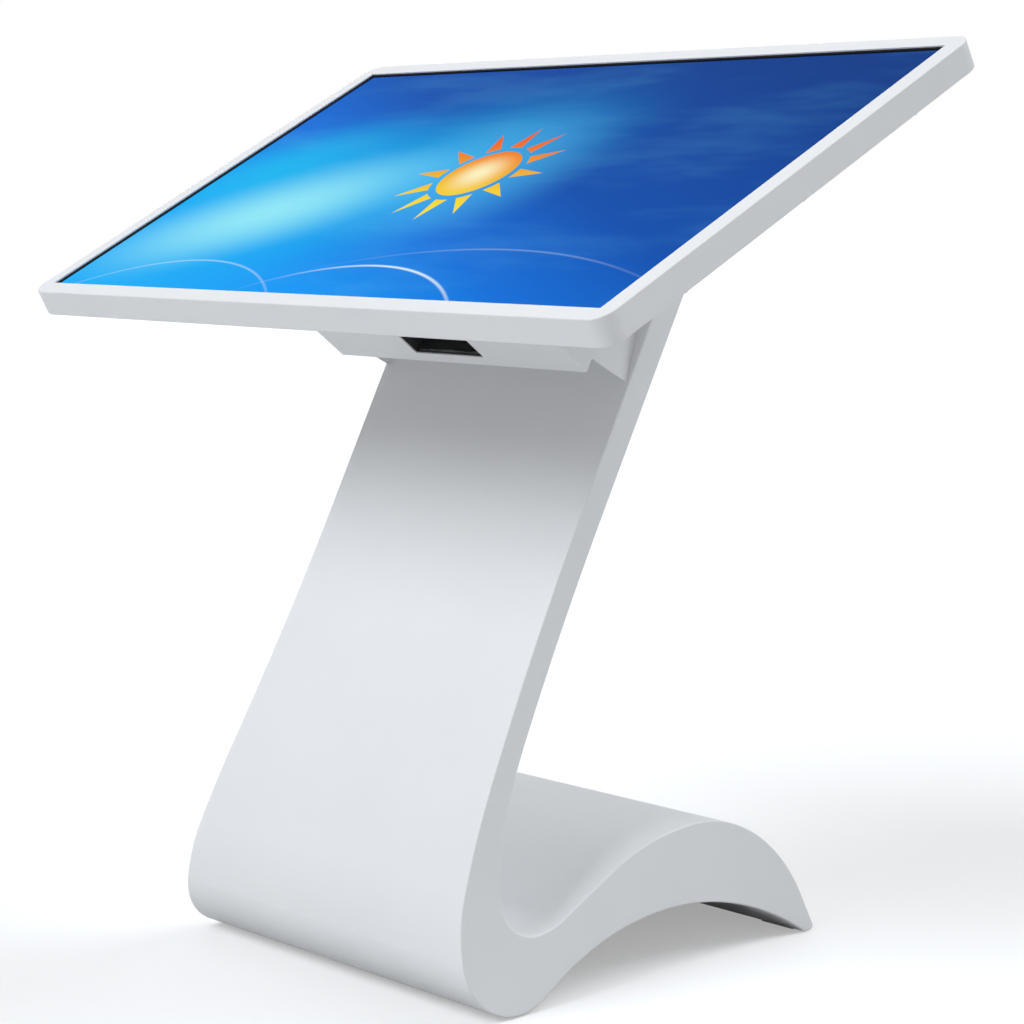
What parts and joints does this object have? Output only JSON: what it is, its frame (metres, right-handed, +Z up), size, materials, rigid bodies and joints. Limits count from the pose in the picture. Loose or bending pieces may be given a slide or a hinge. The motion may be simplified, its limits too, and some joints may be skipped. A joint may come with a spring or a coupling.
{
  "type": "touchscreen kiosk",
  "caption": "Floor-standing touchscreen kiosk: large tilted display head with a port box on a curved folded-steel stand.",
  "frame": {"origin": "on the floor under the centre of the kiosk outline", "axes": "+X to the user's right, +Y to the back, +Z up"},
  "size_m": [0.992, 0.534, 0.9827],
  "materials": {
    "white_paint": "satin powder coat",
    "black_plastic": "fine matt",
    "screen_glass": "polished",
    "lcd_film": "glossy",
    "opal_plastic": "satin",
    "plain_steel": "zinc-coated sheet",
    "white_board": "solder mask",
    "zinc": "zinc plated",
    "black_case": "fine texture",
    "circuit_board": "solder mask",
    "rocker_plastic": "gloss",
    "chrome": "polished",
    "socket_metal": "nickel plated",
    "button_metal": "brushed",
    "rubber": "matt",
    "pad_rubber": "matt",
    "cast_iron": "as cast"
  },
  "bodies": {
    "body": {"bezel_frame": "white_paint", "ir_touch_frame": "black_plastic", "touch_glass": "screen_glass", "lcd_cell": "lcd_film", "diffuser_plate": "opal_plastic", "backlight_tray": "plain_steel", "led_bars": "white_board", "cover_mount_ring": "plain_steel", "panel_rails": "plain_steel", "electronics_plate": "plain_steel", "rear_cover": "white_paint", "rear_cover_screws": "zinc", "mini_pc": "black_case", "power_supply": "plain_steel", "driver_board": "circuit_board", "speakers": "black_plastic", "cooling_fan_frame": "black_plastic", "mains_inlet": "black_plastic", "door_hinge_leaves": "white_paint", "door_hinge_pins": "zinc", "equipment_box": "white_paint", "port_bay": "black_plastic", "bay_wear_strip": "plain_steel", "usb_sockets": "socket_metal", "lan_socket": "socket_metal", "power_button_housing": "black_plastic", "cable_grommet": "rubber", "head_bracket": "plain_steel", "head_bolts": "zinc", "column_top_plate": "plain_steel", "stand_side_right": "white_paint", "stand_side_left": "white_paint", "stand_front_skin": "white_paint", "stand_base_skin": "white_paint", "stand_rear_skin": "white_paint", "stand_webs": "plain_steel", "ballast_plate": "cast_iron", "front_foot_pads": "pad_rubber", "rear_foot_pads": "pad_rubber"},
    "door": {"access_door": "white_paint"},
    "lock": {"door_lock": "chrome"},
    "button": {"power_button": "button_metal"},
    "rocker": {"mains_switch_rocker": "rocker_plastic"},
    "fan": {"cooling_fan_rotor": "black_plastic"}
  },
  "joints": [
    {"name": "door_swing", "type": "hinge", "parent": "body", "child": "door", "pos_m": [0.371, 0.03113, 0.80151], "axis": [0, -0.8988, -0.4384], "range_deg": [0, 100]},
    {"name": "lock_turn", "type": "hinge", "parent": "door", "child": "lock", "pos_m": [0.232, 0.03003, 0.80376], "axis": [0, -0.4384, 0.8988], "range_deg": [0, 90]},
    {"name": "power_button_press", "type": "slide", "parent": "body", "child": "button", "axis": [0, 0.6428, 0.766], "range_m": [0, 0.0015], "stiffness_N_per_m": 300, "springref_m": -0.001},
    {"name": "mains_switch_rock", "type": "hinge", "parent": "body", "child": "rocker", "pos_m": [-0.3, -0.01932, 0.77947], "axis": [1, 0, 0], "range_deg": [0, 20]},
    {"name": "fan_spin", "type": "hinge", "parent": "body", "child": "fan", "pos_m": [-0.3, 0.09985, 0.8545], "axis": [0, -0.4384, 0.8988], "continuous": true}
  ]
}
